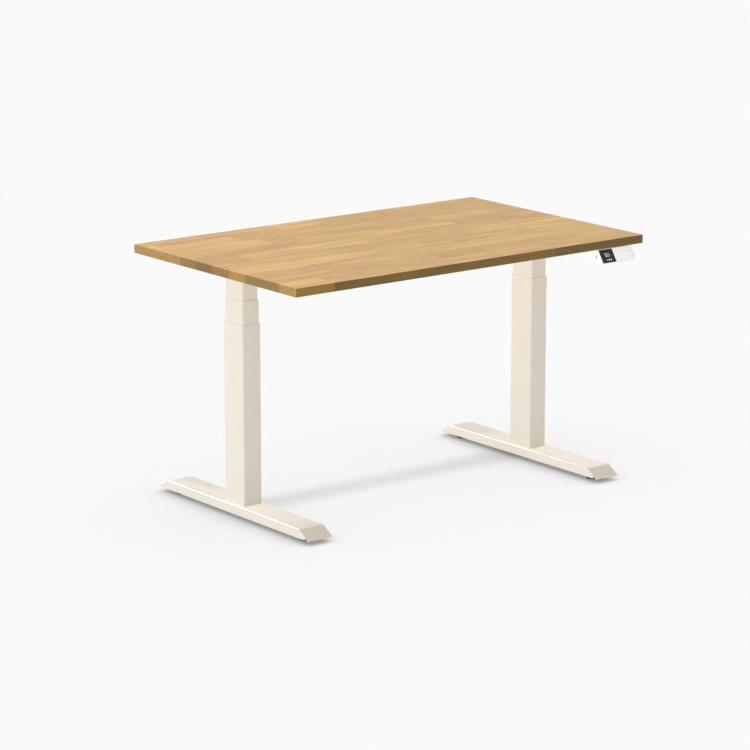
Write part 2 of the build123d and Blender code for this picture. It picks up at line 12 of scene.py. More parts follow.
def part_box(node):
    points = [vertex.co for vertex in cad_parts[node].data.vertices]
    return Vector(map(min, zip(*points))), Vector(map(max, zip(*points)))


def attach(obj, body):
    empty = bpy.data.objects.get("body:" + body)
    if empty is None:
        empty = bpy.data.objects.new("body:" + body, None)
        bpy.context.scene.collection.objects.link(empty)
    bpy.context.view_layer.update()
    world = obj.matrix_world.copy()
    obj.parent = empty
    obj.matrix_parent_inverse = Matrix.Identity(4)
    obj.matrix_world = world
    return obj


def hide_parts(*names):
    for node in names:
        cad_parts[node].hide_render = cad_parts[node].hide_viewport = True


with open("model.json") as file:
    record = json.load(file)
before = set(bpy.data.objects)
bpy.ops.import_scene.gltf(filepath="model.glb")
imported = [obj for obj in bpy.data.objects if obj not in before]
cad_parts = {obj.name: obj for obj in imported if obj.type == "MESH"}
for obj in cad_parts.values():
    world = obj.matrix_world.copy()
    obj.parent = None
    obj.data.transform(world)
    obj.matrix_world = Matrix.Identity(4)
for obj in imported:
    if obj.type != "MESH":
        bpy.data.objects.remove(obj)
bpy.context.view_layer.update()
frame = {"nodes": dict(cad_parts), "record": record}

# ------------------------------------------------------------------ feet
# Each foot is one folded steel channel, open underneath, its ends bent down into sloping lips.
# It is sprayed with a cream powder coat, which pulls back a little from the sheet's edges.
BODY_OF = {node: body for body, nodes in frame["record"]["behaviour"]["bodies"].items() for node in nodes}
SIDES = ("left", "right")
PAINT = (0.72, 0.667, 0.590)
EDGE_BREAK = 0.0004  # radius left on a folded or sawn steel edge
MERGE_GAP = 2e-6  # drawn points closer than this are one point
CORNER_ANGLE = math.radians(32)  # faces that meet more sharply than this meet at an edge
FLAT_ANGLE = math.radians(1.0)


class Finish:
    """One procedural finish, wired node by node on a Principled shader."""

    def __init__(self, name, **shader_values):
        self.material = bpy.data.materials.new(name)
        self.material.use_nodes = True
        self.tree = self.material.node_tree
        self.shader = self.tree.nodes["Principled BSDF"]
        for socket, value in shader_values.items():
            self.shader.inputs[socket.replace("_", " ")].default_value = value
        self.place = self.add("TexCoord", out="Object")

    def add(self, kind, sockets=None, out=0, **settings):
        """Adds a node, sets or links its sockets, and gives back one output."""
        node = self.tree.nodes.new("ShaderNode" + kind)
        for key, value in settings.items():
            setattr(node, key, value)
        for key, value in (sockets or {}).items():
            self.feed(node.inputs[key], value)
        return node.outputs[out]

    def feed(self, socket, value):
        """Links an output to a socket, or sets a plain value on it."""
        if isinstance(value, bpy.types.NodeSocket):
            self.tree.links.new(value, socket)
        else:
            socket.default_value = value

    def stretched(self, scale, place=None):
        """The place on the piece, scaled apart along X, Y and Z."""
        return self.add("Mapping", {"Vector": place or self.place, "Scale": scale}, vector_type="POINT")

    def noise(self, scale, detail=3.0, rough=0.55, place=None):
        """Cloudy noise; scale is one number per metre, or one for each axis."""
        even = isinstance(scale, (int, float))
        vector = (place or self.place) if even else self.stretched(scale, place)
        sockets = {"Vector": vector, "Scale": scale if even else 1.0, "Detail": detail, "Roughness": rough}
        return self.add("TexNoise", sockets, out=0)

    def spread(self, value, low, high, out_low, out_high):
        """Maps a value from one range to another."""
        sockets = {"Value": value, "From Min": low, "From Max": high, "To Min": out_low, "To Max": out_high}
        return self.add("MapRange", sockets)

    def sum(self, operation, a, b=0.0):
        """Plain arithmetic on two values."""
        return self.add("Math", {0: a, 1: b}, operation=operation)

    def blend(self, factor, a, b, mode="MIX"):
        """Mixes two colours."""
        sockets = {0: factor, 6: a, 7: b}
        return self.add("Mix", sockets, out=2, data_type="RGBA", blend_type=mode)

    def tinted(self, colour, factor):
        """A colour made lighter or darker by a factor."""
        grey = self.add("CombineColor", {0: factor, 1: factor, 2: factor})
        return self.blend(1.0, colour, grey, "MULTIPLY")

    def bump(self, height, depth, strength=1.0):
        """Relief on the surface, depth in metres."""
        bump = self.add("Bump", {"Height": height, "Distance": depth, "Strength": strength})
        self.feed(self.shader.inputs["Normal"], bump)


def rgba(colour):
    """A linear colour with full alpha."""
    return (*colour, 1.0)


def powder_coat(name, colour):
    """Sprayed and stoved powder: an even colour with fine orange peel."""
    coat = Finish(name, IOR=1.5)
    cloud = coat.spread(coat.noise(9.0), 0.3, 0.7, 0.985, 1.012)
    speck = coat.spread(coat.noise(1300.0, 2.0), 0.25, 0.75, 0.992, 1.008)
    tone = coat.sum("MULTIPLY", cloud, speck)
    coat.feed(coat.shader.inputs["Base Color"], coat.tinted(rgba(colour), tone))
    coat.feed(coat.shader.inputs["Roughness"], coat.spread(coat.noise(160.0), 0.3, 0.7, 0.15, 0.20))
    coat.bump(coat.noise(260.0, 2.0), 0.00002, 0.05)
    return coat.material


def softened(node, width, finish, segments=3):
    """A copy of a drawn part with its triangles joined up and its sharp edges rounded over."""
    source = frame["nodes"][node]
    mesh = source.data.copy()
    shape = bmesh.new()
    shape.from_mesh(mesh)
    bmesh.ops.remove_doubles(shape, verts=shape.verts, dist=MERGE_GAP)
    bmesh.ops.dissolve_limit(
        shape,
        angle_limit=FLAT_ANGLE,
        verts=shape.verts,
        edges=shape.edges,
        use_dissolve_boundaries=False,
    )
    shape.to_mesh(mesh)
    shape.free()
    for layer in list(mesh.uv_layers):
        mesh.uv_layers.remove(layer)
    piece = bpy.data.objects.new(node + "_made", mesh)
    bpy.context.scene.collection.objects.link(piece)
    mesh.materials.clear()
    mesh.materials.append(finish)
    mesh.polygons.foreach_set("use_smooth", [True] * len(mesh.polygons))
    mesh.set_sharp_from_angle(angle=CORNER_ANGLE)
    if width:
        round_over(piece, width, segments)
    stands_for(piece, node)
    return piece


def round_over(piece, width, segments):
    """Breaks a piece's sharp edges."""
    bevel = piece.modifiers.new("broken edges", "BEVEL")
    bevel.harden_normals = True
    bevel.width = width
    bevel.segments = segments
    bevel.limit_method = "ANGLE"
    bevel.angle_limit = CORNER_ANGLE
    bevel.use_clamp_overlap = True
    bevel.harden_normals = True


def stands_for(piece, node):
    """The piece shows in place of a drawn part, on the same body."""
    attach(piece, BODY_OF[node])
    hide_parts(node)


cream_coat = powder_coat("cream powder coat", PAINT)
for side in SIDES:
    softened(f"{side}_foot", EDGE_BREAK, cream_coat)

# ------------------------------------------------------------------ levelling feet
# A hard rubber disc turns on the ball of an M8 zinc-plated stud, screwed up into a nut
# welded inside the foot. The disc's rim is ribbed for the fingers.
RIB_COUNT, RIB_RADIUS = 36, 0.0007
RIB_TALL, RIB_RISE = 0.52, 0.42  # height of a rib and of its middle, as shares of the disc's


def moulded_rubber(name, colour):
    """Dense moulded rubber, dusty where it is handled."""
    rubber = Finish(name, Roughness=0.8, IOR=1.45, Specular_IOR_Level=0.25)
    dust = rubber.spread(rubber.noise(70.0, 5.0), 0.45, 0.8, 0.0, 0.3)
    shade = rubber.blend(dust, rgba(colour), rgba(tuple(c + 0.02 for c in colour)))
    rubber.feed(rubber.shader.inputs["Base Color"], shade)
    rubber.feed(rubber.shader.inputs["Roughness"], rubber.spread(rubber.noise(240.0), 0.3, 0.7, 0.6, 0.82))
    rubber.bump(rubber.noise(1500.0, 2.0), 0.00006, 0.5)
    return rubber.material


def plated_steel(name, colour, rough=0.3):
    """Bright plated steel with faint rolling marks and dull patches."""
    steel = Finish(name, Metallic=1.0)
    patch = steel.spread(steel.noise(45.0, 4.0), 0.3, 0.7, 0.86, 1.06)
    steel.feed(steel.shader.inputs["Base Color"], steel.tinted(rgba(colour), patch))
    marks = steel.noise((60.0, 60.0, 2400.0), 2.0)
    steel.feed(steel.shader.inputs["Roughness"], steel.spread(marks, 0.3, 0.7, rough - 0.08, rough + 0.14))
    steel.bump(marks, 0.00003, 0.3)
    return steel.material


def ribbed_rim(node, finish):
    """Short upright ribs round a disc, one mesh, made by a node tree that places them."""
    low, high = (Vector(corner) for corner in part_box(node))
    middle = (low + high) / 2
    tree = bpy.data.node_groups.new("ribs round a rim", "GeometryNodeTree")
    for name, kind, value in (
        ("Rim radius", "NodeSocketFloat", (high.x - low.x) / 2),
        ("Rib radius", "NodeSocketFloat", RIB_RADIUS),
        ("Rib height", "NodeSocketFloat", (high.z - low.z) * RIB_TALL),
        ("Ribs", "NodeSocketInt", RIB_COUNT),
        ("Finish", "NodeSocketMaterial", finish),
    ):
        tree.interface.new_socket(name, in_out="INPUT", socket_type=kind).default_value = value
    tree.interface.new_socket("Geometry", in_out="OUTPUT", socket_type="NodeSocketGeometry")
    sizes = tree.nodes.new("NodeGroupInput")
    rim = tree.nodes.new("GeometryNodeMeshCircle")
    rib = tree.nodes.new("GeometryNodeMeshCylinder")
    rib.inputs["Vertices"].default_value = 8
    place = tree.nodes.new("GeometryNodeInstanceOnPoints")
    plain = tree.nodes.new("GeometryNodeRealizeInstances")
    coat = tree.nodes.new("GeometryNodeSetMaterial")
    end = tree.nodes.new("NodeGroupOutput")
    for source, target in (
        (sizes.outputs["Rim radius"], rim.inputs["Radius"]),
        (sizes.outputs["Ribs"], rim.inputs["Vertices"]),
        (sizes.outputs["Rib radius"], rib.inputs["Radius"]),
        (sizes.outputs["Rib height"], rib.inputs["Depth"]),
        (sizes.outputs["Finish"], coat.inputs["Material"]),
        (rim.outputs[0], place.inputs["Points"]),
        (rib.outputs[0], place.inputs["Instance"]),
        (place.outputs[0], plain.inputs[0]),
        (plain.outputs[0], coat.inputs["Geometry"]),
        (coat.outputs[0], end.inputs[0]),
    ):
        tree.links.new(source, target)
    ribs = grown(node + "_ribs", tree, {"Rim radius": (high.x - low.x) / 2 - RIB_RADIUS})
    rise = low.z + (high.z - low.z) * RIB_RISE
    ribs.data.transform(Matrix.Translation((middle.x, middle.y, rise)))
    return ribs


def grown(name, tree, values, points=()):
    """Runs a node tree on a host of loose points and keeps the result as a plain mesh."""
    host_mesh = bpy.data.meshes.new(name + " host")
    host_mesh.from_pydata(list(points), [], [])
    host = bpy.data.objects.new(name + " host", host_mesh)
    bpy.context.scene.collection.objects.link(host)
    growth = host.modifiers.new("growth", "NODES")
    growth.node_group = tree
    for item in tree.interface.items_tree:
        if item.in_out == "INPUT" and item.name in values:
            growth[item.identifier] = values[item.name]
    bpy.context.view_layer.update()
    depsgraph = bpy.context.evaluated_depsgraph_get()
    mesh = bpy.data.meshes.new_from_object(host.evaluated_get(depsgraph))
    mesh.name = name
    piece = bpy.data.objects.new(name, mesh)
    bpy.context.scene.collection.objects.link(piece)
    bpy.data.objects.remove(host)
    return piece


# The pads' black is set darker than the rubber alone: painted shade, standing in for the contact shadow under
# the pads.
pad_black_with_painted_shade = moulded_rubber("black pad rubber with painted shade", (0.008, 0.008, 0.009))
zinc_plate = plated_steel("zinc plate", (0.60, 0.61, 0.63))
for side in SIDES:
    for place in ("front", "rear"):
        pad, stud = f"{side}_{place}_leveller_pad", f"{side}_{place}_leveller_stud"
        softened(pad, 0.0003, pad_black_with_painted_shade)
        softened(stud, 0.0002, zinc_plate)
        ribs = ribbed_rim(pad, pad_black_with_painted_shade)
        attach(ribs, BODY_OF[pad])

# ------------------------------------------------------------------ column tubes and collars
# Three welded steel tubes slide in one another, powder coated like the feet. The two outer
# ones end in a moulded cream collar whose rim hides the running gap.


def moulded_plastic(name, colour, rough=0.45, grain=900.0):
    """Injection moulded plastic with a fine spark-eroded texture."""
    plastic = Finish(name, IOR=1.46)
    drift = plastic.spread(plastic.noise(14.0), 0.3, 0.7, 0.975, 1.02)
    plastic.feed(plastic.shader.inputs["Base Color"], plastic.tinted(rgba(colour), drift))
    sheen = plastic.spread(plastic.noise(120.0), 0.3, 0.7, rough - 0.06, rough + 0.08)
    plastic.feed(plastic.shader.inputs["Roughness"], sheen)
    plastic.bump(plastic.noise(grain, 3.0), 0.00006, 0.35)
    return plastic.material


cream_plastic = moulded_plastic("cream collar plastic", (0.80, 0.755, 0.675), 0.4)
natural_plastic = moulded_plastic("natural slide plastic", (0.62, 0.61, 0.55), 0.38)
for side in SIDES:
    for part in ("outer_tube", "middle_tube", "inner_tube"):
        softened(f"{side}_{part}", EDGE_BREAK, cream_coat)
    for part in ("outer_collar", "middle_collar"):
        softened(f"{side}_{part}", 0.0003, cream_plastic)
    for part in ("middle_slides", "inner_slides"):
        softened(f"{side}_{part}", 0.0, natural_plastic)

# ------------------------------------------------------------------ lifting screws and motors
# Hidden in each column: rolled and greased steel screws one inside the other, a bronze nut,
# a bearing plate and a black enamelled gearmotor. They keep their drawn shapes.


def greased_thread(name):
    """Rolled steel thread with a film of pale grease in its grooves."""
    thread = Finish(name, Metallic=0.9)
    helix = thread.add(
        "TexWave", {"Vector": thread.place, "Scale": 63.0, "Distortion": 0.4}, out=1, bands_direction="Z"
    )
    shade = thread.blend(helix, rgba((0.44, 0.42, 0.36)), rgba((0.62, 0.62, 0.63)))
    thread.feed(thread.shader.inputs["Base Color"], shade)
    thread.feed(thread.shader.inputs["Roughness"], thread.spread(thread.noise(90.0), 0.3, 0.7, 0.22, 0.5))
    thread.bump(helix, 0.0006, 0.6)
    return thread.material


def keep_drawn(node, finish):
    """A drawn part whose shape is right as it is takes its finish."""
    mesh = frame["nodes"][node].data
    mesh.materials.clear()
    mesh.materials.append(finish)


thread_steel = greased_thread("greased screw thread")
hex_steel = plated_steel("drawn hexagon steel", (0.46, 0.46, 0.47), 0.34)
bronze = plated_steel("turned nut bronze", (0.62, 0.40, 0.17), 0.36)
motor_enamel = powder_coat("black motor enamel", (0.018, 0.018, 0.02))
for side in SIDES:
    for part, finish in (
        ("base_spindle", thread_steel),
        ("lift_spindle", thread_steel),
        ("hex_shaft", hex_steel),
        ("inner_nut", bronze),
        ("middle_bearing", zinc_plate),
        ("gearmotor", motor_enamel),
    ):
        keep_drawn(f"{side}_{part}", finish)
keep_drawn("foot_weld_nuts", zinc_plate)

# ------------------------------------------------------------------ frame under the desktop
# Head plates welded on the inner tubes carry folded side brackets; sleeves welded below their
# tongues take the sliding centre beam. All pressed or rolled steel, powder coated cream.
for side in SIDES:
    for part in ("head_plate", "side_bracket", "beam_sleeve"):
        softened(f"{side}_{part}", EDGE_BREAK, cream_coat)
softened("centre_beam", 0.0003, cream_coat)

# ------------------------------------------------------------------ screws and bolts
# Black button-head machine screws with hexagon sockets, black pan-head wood screws with
# square sockets, and zinc-plated hexagon bolts up through the feet. All point upwards.
RING_POINTS = 24
LARGEST_TURN, TURN_SEED = 6.28, 11


def ring_of(sides, size, height):
    """Points round a circle (no sides) or a polygon of that many sides, at one height."""
    points = []
    for index in range(RING_POINTS):
        turn = 2 * math.pi * index / RING_POINTS
        reach = size
        if sides:
            wedge = 2 * math.pi / sides
            reach = size / math.cos((turn + wedge / 2) % wedge - wedge / 2)
        points.append((reach * math.cos(turn), reach * math.sin(turn), height))
    return points


def turned_screw(name, rings, finish):
    """Closed skin through a row of rings, from the bottom of the socket to the shank's tip."""
    shape = bmesh.new()
    loops = [[shape.verts.new(point) for point in ring_of(*ring)] for ring in rings]
    for below, above in zip(loops, loops[1:]):
        for index in range(RING_POINTS):
            following = (index + 1) % RING_POINTS
            shape.faces.new((below[index], below[following], above[following], above[index]))
    shape.faces.new(loops[0])
    shape.faces.new(loops[-1])
    bmesh.ops.recalc_face_normals(shape, faces=shape.faces)
    mesh = bpy.data.meshes.new(name)
    shape.to_mesh(mesh)
    shape.free()
    mesh.materials.append(finish)
    return bpy.data.objects.new(name, mesh)


def screw_tree():
    """Sets one screw on each point, turned at random about its axis."""
    tree = bpy.data.node_groups.new("screws on their seats", "GeometryNodeTree")
    tree.interface.new_socket("Seats", in_out="INPUT", socket_type="NodeSocketGeometry")
    tree.interface.new_socket("Screw", in_out="INPUT", socket_type="NodeSocketObject")
    tree.interface.new_socket("Finish", in_out="INPUT", socket_type="NodeSocketMaterial")
    largest = tree.interface.new_socket("Largest turn", in_out="INPUT", socket_type="NodeSocketFloat")
    largest.default_value = LARGEST_TURN
    tree.interface.new_socket("Geometry", in_out="OUTPUT", socket_type="NodeSocketGeometry")
    given = tree.nodes.new("NodeGroupInput")
    screw = tree.nodes.new("GeometryNodeObjectInfo")
    turn = tree.nodes.new("FunctionNodeRandomValue")
    turn.data_type = "FLOAT"
    turn.inputs["Seed"].default_value = TURN_SEED
    axis = tree.nodes.new("ShaderNodeCombineXYZ")
    place = tree.nodes.new("GeometryNodeInstanceOnPoints")
    plain = tree.nodes.new("GeometryNodeRealizeInstances")
    coat = tree.nodes.new("GeometryNodeSetMaterial")
    end = tree.nodes.new("NodeGroupOutput")
    for source, target in (
        (given.outputs["Screw"], screw.inputs["Object"]),
        (given.outputs["Largest turn"], turn.inputs[3]),
        (turn.outputs[1], axis.inputs["Z"]),
        (given.outputs["Seats"], place.inputs["Points"]),
        (screw.outputs["Geometry"], place.inputs["Instance"]),
        (axis.outputs[0], place.inputs["Rotation"]),
        (place.outputs[0], plain.inputs[0]),
        (plain.outputs[0], coat.inputs["Geometry"]),
        (given.outputs["Finish"], coat.inputs["Material"]),
        (coat.outputs[0], end.inputs[0]),
    ):
        tree.links.new(source, target)
    return tree


def seats_of(node):
    """Where each screw of a drawn part bears: the middle of its head's upper face."""
    mesh = frame["nodes"][node].data
    shape = bmesh.new()
    shape.from_mesh(mesh)
    bmesh.ops.remove_doubles(shape, verts=shape.verts, dist=MERGE_GAP)
    seats, left = [], set(shape.verts)
    while left:
        island, edge = set(), [left.pop()]
        while edge:
            vert = edge.pop()
            island.add(vert)
            for link in vert.link_edges:
                other = link.other_vert(vert)
                if other in left:
                    left.discard(other)
                    edge.append(other)
        low = Vector(min(v.co[axis] for v in island) for axis in range(3))
        high = Vector(max(v.co[axis] for v in island) for axis in range(3))
        seats.append(((low.x + high.x) / 2, (low.y + high.y) / 2, low.z))
    shape.free()
    return sorted(seats)


def set_screws(node, rings, finish):
    """All of one kind of screw, in place of the drawn ones."""
    screw = turned_screw(node + " pattern", rings, finish)
    set_of = grown(node + "_set", screw_tree(), {"Screw": screw, "Finish": finish}, seats_of(node))
    bpy.data.objects.remove(screw)
    set_of.data.polygons.foreach_set("use_smooth", [True] * len(set_of.data.polygons))
    set_of.data.set_sharp_from_angle(angle=math.radians(35))
    stands_for(set_of, node)


black_zinc = plated_steel("black zinc plate", (0.05, 0.05, 0.055), 0.4)
M6_BUTTON = (
    (6, 0.0020, 0.0022), (6, 0.0020, 0.0001), (0, 0.0026, 0.0), (0, 0.0042, 0.0007),
    (0, 0.0051, 0.0020), (0, 0.0055, 0.0038), (0, 0.0055, 0.0040), (0, 0.0030, 0.0040), (0, 0.0030, 0.0110),
)
WOOD_PAN = (
    (4, 0.0011, 0.0013), (4, 0.0011, 0.0001), (0, 0.0020, 0.0), (0, 0.0034, 0.0004),
    (0, 0.0040, 0.0014), (0, 0.0040, 0.0020), (0, 0.0020, 0.0020), (0, 0.0020, 0.0150), (0, 0.0004, 0.0180),
)
M6_HEXAGON = (
    (0, 0.0030, 0.0003), (0, 0.0042, 0.0002), (0, 0.0047, 0.0), (6, 0.0049, 0.0004),
    (6, 0.0050, 0.0039), (6, 0.0050, 0.0040), (0, 0.0030, 0.0040), (0, 0.0030, 0.0120),
)
set_screws("machine_screws", M6_BUTTON, black_zinc)
set_screws("wood_screws", WOOD_PAN, black_zinc)
set_screws("foot_bolts", M6_HEXAGON, zinc_plate)

# ------------------------------------------------------------------ desktop
# Solid oak staves of random length glued edge to edge in ten rows, planed flat, with the
# edges just broken and a clear oil that leaves the cut edges and end grain much darker.
ROW_COUNT = 10
SHADES = {
    "pale": (1.14, 0.05), "straw": (1.04, 0.60), "honey": (1.0, 0.25), "rose": (0.99, -0.40),
    "tan": (0.965, 0.0), "russet": (0.925, -0.50), "olive": (0.955, 0.45), "umber": (0.92, -0.05),
}
# Each row's staves, front row first, as shade and right-hand end. Besides each stave's own tone, the table
# holds painted light: pale and rose staves gather at the left ends and straw, olive and tan ones at the
# right, so the top comes out lighter and pinker at the left and yellower at the right.
STAVES = (
    (("pale", -0.475), ("tan", -0.065), ("honey", 0.280), ("olive", 0.6)),
    (("honey", -0.332), ("tan", -0.053), ("umber", 0.111), ("olive", 0.440), ("straw", 0.6)),
    (("rose", -0.400), ("rose", -0.129), ("straw", 0.311), ("straw", 0.6)),
    (("pale", -0.217), ("honey", 0.035), ("umber", 0.120), ("tan", 0.405), ("honey", 0.6)),
    (("rose", -0.523), ("straw", -0.294), ("umber", -0.072), ("honey", 0.250), ("straw", 0.6)),
    (("russet", -0.470), ("pale", -0.060), ("russet", 0.066), ("tan", 0.380), ("tan", 0.6)),
    (("rose", -0.233), ("straw", 0.020), ("straw", 0.291), ("russet", 0.6)),
    (("pale", -0.290), ("honey", -0.080), ("honey", 0.211), ("tan", 0.280), ("honey", 0.500), ("tan", 0.6)),
    (("pale", -0.336), ("rose", -0.026), ("umber", 0.290), ("russet", 0.6)),
    (("pale", -0.565), ("rose", -0.152), ("pale", -0.003), ("olive", 0.291), ("tan", 0.6)),
)
FAR = 9.0  # stands for no glue line on that side
END_GRAIN_DARK, LONG_EDGE_DARK = 0.86, 1.0
DESKTOP_BREAK = 0.0009


def oak(name):
    """Oiled oak as a solid: growth rings round each stave's own heart, pores and flecks."""
    wood = Finish(name, IOR=1.48, Specular_IOR_Level=0.4)
    look = wood.add("Attribute", out="Vector", attribute_name="stave_look")
    tone, warmth = (wood.add("SeparateXYZ", {0: look}, out=axis) for axis in ("Y", "Z"))
    cut_edge = wood.add("Attribute", out="Fac", attribute_name="cut_edge")
    heart = wood.add("Attribute", out="Vector", attribute_name="stave_heart")
    shift = wood.add("VectorMath", {0: look, 1: (31.0, 0.0, 0.0)}, operation="MULTIPLY")
    grain_place = wood.add("VectorMath", {0: wood.place, 1: shift}, operation="ADD")

    out_from_heart = wood.add("VectorMath", {0: wood.place, 1: heart}, operation="SUBTRACT")
    across = wood.add("VectorMath", {0: out_from_heart, 1: (0.0, 1.0, 1.0)}, operation="MULTIPLY")
    radius = wood.add("VectorMath", {0: across}, out="Value", operation="LENGTH")
    sway = wood.spread(wood.noise((2.2, 7.0, 7.0), 3.0, 0.5, grain_place), 0.0, 1.0, -0.011, 0.011)
    ripple = wood.spread(wood.noise((9.0, 60.0, 60.0), 3.0, 0.6, grain_place), 0.0, 1.0, -0.0011, 0.0011)
    ring = wood.sum("ADD", wood.sum("ADD", radius, sway), ripple)
    ring = wood.sum("FRACT", wood.sum("MULTIPLY", ring, 170.0))
    late = wood.spread(wood.sum("PINGPONG", ring, 0.5), 0.0, 0.42, 1.0, 0.0)

    band = wood.noise((1.9, 42.0, 42.0), 3.0, 0.6, grain_place)
    streak = wood.noise((4.0, 120.0, 120.0), 4.0, 0.65, grain_place)
    grain = wood.noise((8.0, 75.0, 75.0), 3.0, 0.7, grain_place)
    pores = wood.noise((42.0, 1500.0, 1500.0), 2.0, 0.6, grain_place)
    fleck = wood.noise((60.0, 300.0, 300.0), 2.0, 0.5, grain_place)
    wide = wood.noise((1.3, 14.0, 14.0), 2.0, 0.5, grain_place)

    stave_hue = wood.spread(warmth, -1.0, 1.0, 0.0, 1.0)
    hue = wood.sum("ADD", stave_hue, wood.spread(band, 0.35, 0.65, -0.25, 0.25))
    colour = wood.blend(hue, rgba(OAK_ROSE), rgba(OAK_STRAW))
    cut_tone = wood.sum("MULTIPLY", wood.sum("SUBTRACT", tone, 1.0), wood.sum("MULTIPLY", cut_edge, 2.2))
    shade = wood.sum("ADD", tone, cut_tone)
    shade = wood.sum("MULTIPLY", shade, wood.spread(streak, 0.30, 0.70, 0.82, 1.13))
    shade = wood.sum("MULTIPLY", shade, wood.spread(band, 0.3, 0.7, 0.89, 1.09))
    shade = wood.sum("MULTIPLY", shade, wood.spread(grain, 0.32, 0.68, 0.90, 1.08))
    shade = wood.sum("MULTIPLY", shade, wood.spread(wide, 0.3, 0.7, 0.975, 1.025))
    shade = wood.sum("MULTIPLY", shade, wood.spread(late, 0.0, 1.0, 1.04, 0.85))
    shade = wood.sum("MULTIPLY", shade, wood.spread(pores, 0.60, 0.72, 1.0, 0.74))
    shade = wood.sum("MULTIPLY", shade, wood.spread(fleck, 0.66, 0.76, 1.0, 1.05))
    shade = wood.sum("MULTIPLY", shade, glue_line(wood))
    colour = wood.tinted(colour, shade)
    colour = wood.blend(cut_edge, colour, wood.blend(1.0, colour, rgba(OAK_EDGE), "MULTIPLY"))
    wood.feed(wood.shader.inputs["Base Color"], colour)
    wood.feed(wood.shader.inputs["Roughness"], wood.spread(streak, 0.3, 0.7, 0.40, 0.56))
    relief = wood.sum("SUBTRACT", wood.spread(pores, 0.55, 0.75, 1.0, 0.0), wood.sum("MULTIPLY", late, 0.2))
    wood.bump(relief, 0.00012, 0.45)
    return wood.material


def glue_line(wood):
    """Darkens the hairline where two staves meet."""
    low = wood.add("Attribute", out="Vector", attribute_name="stave_low")
    high = wood.add("Attribute", out="Vector", attribute_name="stave_high")
    from_low = wood.add("VectorMath", {0: wood.place, 1: low}, operation="SUBTRACT")
    from_high = wood.add("VectorMath", {0: high, 1: wood.place}, operation="SUBTRACT")
    nearest = wood.add("VectorMath", {0: from_low, 1: from_high}, operation="MINIMUM")
    along = wood.add("SeparateXYZ", {0: nearest}, out="X")
    across = wood.add("SeparateXYZ", {0: nearest}, out="Y")
    return wood.spread(wood.sum("MINIMUM", along, across), 0.0001, 0.0007, 0.80, 1.0)


OAK_ROSE = (0.655, 0.385, 0.172)
OAK_STRAW = (0.605, 0.390, 0.143)
OAK_EDGE = (0.355, 0.32, 0.155)


def rip_and_crosscut(low, high):
    """The panel as one closed skin, its faces cut along every glue line."""
    shape = bmesh.new()
    bmesh.ops.create_cube(shape, size=1.0)
    size, middle = high - low, (high + low) / 2
    bmesh.ops.scale(shape, vec=size, verts=shape.verts)
    bmesh.ops.translate(shape, vec=middle, verts=shape.verts)
    row_depth = size.y / ROW_COUNT
    for row in range(1, ROW_COUNT):
        everything = shape.verts[:] + shape.edges[:] + shape.faces[:]
        place = (0.0, low.y + row * row_depth, 0.0)
        bmesh.ops.bisect_plane(shape, geom=everything, dist=1e-6, plane_co=place, plane_no=(0, 1, 0))
    for row, staves in enumerate(STAVES):
        for _, end in staves[:-1]:
            faces = [face for face in shape.faces if row_of(face, low.y, row_depth) == row]
            edges = list({edge for face in faces for edge in face.edges})
            verts = list({vert for face in faces for vert in face.verts})
            bmesh.ops.bisect_plane(
                shape, geom=verts + edges + faces, dist=1e-6, plane_co=(end, 0, 0), plane_no=(1, 0, 0)
            )
    return shape


def row_of(face, front, row_depth):
    """Which row of staves a face belongs to, the first at the user's side."""
    return max(0, min(ROW_COUNT - 1, int((face.calc_center_median().y - front) / row_depth)))


def mark_staves(mesh, low, high):
    """Writes each stave's look, heart and glue lines on the corners of its faces."""
    draw = random.Random(23)
    row_depth = (high.y - low.y) / ROW_COUNT
    kinds = {"stave_look": "FLOAT_VECTOR", "stave_heart": "FLOAT_VECTOR", "stave_low": "FLOAT_VECTOR",
             "stave_high": "FLOAT_VECTOR", "cut_edge": "FLOAT"}
    for name, kind in kinds.items():
        mesh.attributes.new(name, kind, "CORNER")
    layers = {name: mesh.attributes[name] for name in kinds}
    staves = {}
    for row, row_staves in enumerate(STAVES):
        start = low.x
        for index, (shade, end) in enumerate(row_staves):
            tone, warmth = SHADES[shade]
            front, back = low.y + row * row_depth, low.y + (row + 1) * row_depth
            staves[row, index] = {
                "end": end if index < len(row_staves) - 1 else high.x + FAR,
                "stave_look": (
                    draw.random(),
                    tone * draw.uniform(0.985, 1.015),
                    warmth + draw.uniform(-0.15, 0.15),
                ),
                "stave_heart": (
                    0.0,
                    (front + back) / 2 + draw.uniform(-0.07, 0.07),
                    high.z - draw.uniform(0.03, 0.16),
                ),
                "stave_low": (start if index else -FAR, front if row else -FAR, 0.0),
                "stave_high": (
                    end if index < len(row_staves) - 1 else FAR,
                    back if row < ROW_COUNT - 1 else FAR,
                    0.0,
                ),
            }
            start = end
    for face in mesh.polygons:
        row = max(0, min(ROW_COUNT - 1, int((face.center.y - low.y) / row_depth)))
        index = next(i for i in range(len(STAVES[row])) if face.center.x <= staves[row, i]["end"] + 1e-6)
        stave = staves[row, index]
        cut = LONG_EDGE_DARK
        if abs(face.normal.z) > 0.5:
            cut = 0.0
        elif abs(face.normal.x) > 0.5:
            cut = END_GRAIN_DARK
        for corner in face.loop_indices:
            for name in ("stave_look", "stave_heart", "stave_low", "stave_high"):
                layers[name].data[corner].vector = stave[name]
            layers["cut_edge"].data[corner].value = cut


def glued_panel():
    """The finished desktop."""
    low, high = (Vector(corner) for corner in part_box("desktop"))
    shape = rip_and_crosscut(low, high)
    mesh = bpy.data.meshes.new("oak_desktop")
    shape.to_mesh(mesh)
    shape.free()
    mark_staves(mesh, low, high)
    mesh.materials.append(oak("oiled oak staves"))
    panel = bpy.data.objects.new("oak_desktop", mesh)
    bpy.context.scene.collection.objects.link(panel)
    round_over(panel, DESKTOP_BREAK, 3)
    stands_for(panel, "desktop")
    return panel


desktop = glued_panel()

# ------------------------------------------------------------------ control box
# A black moulded case screwed under the desktop behind the crossbeam, with a row of sockets
# on its front side and the power board inside.


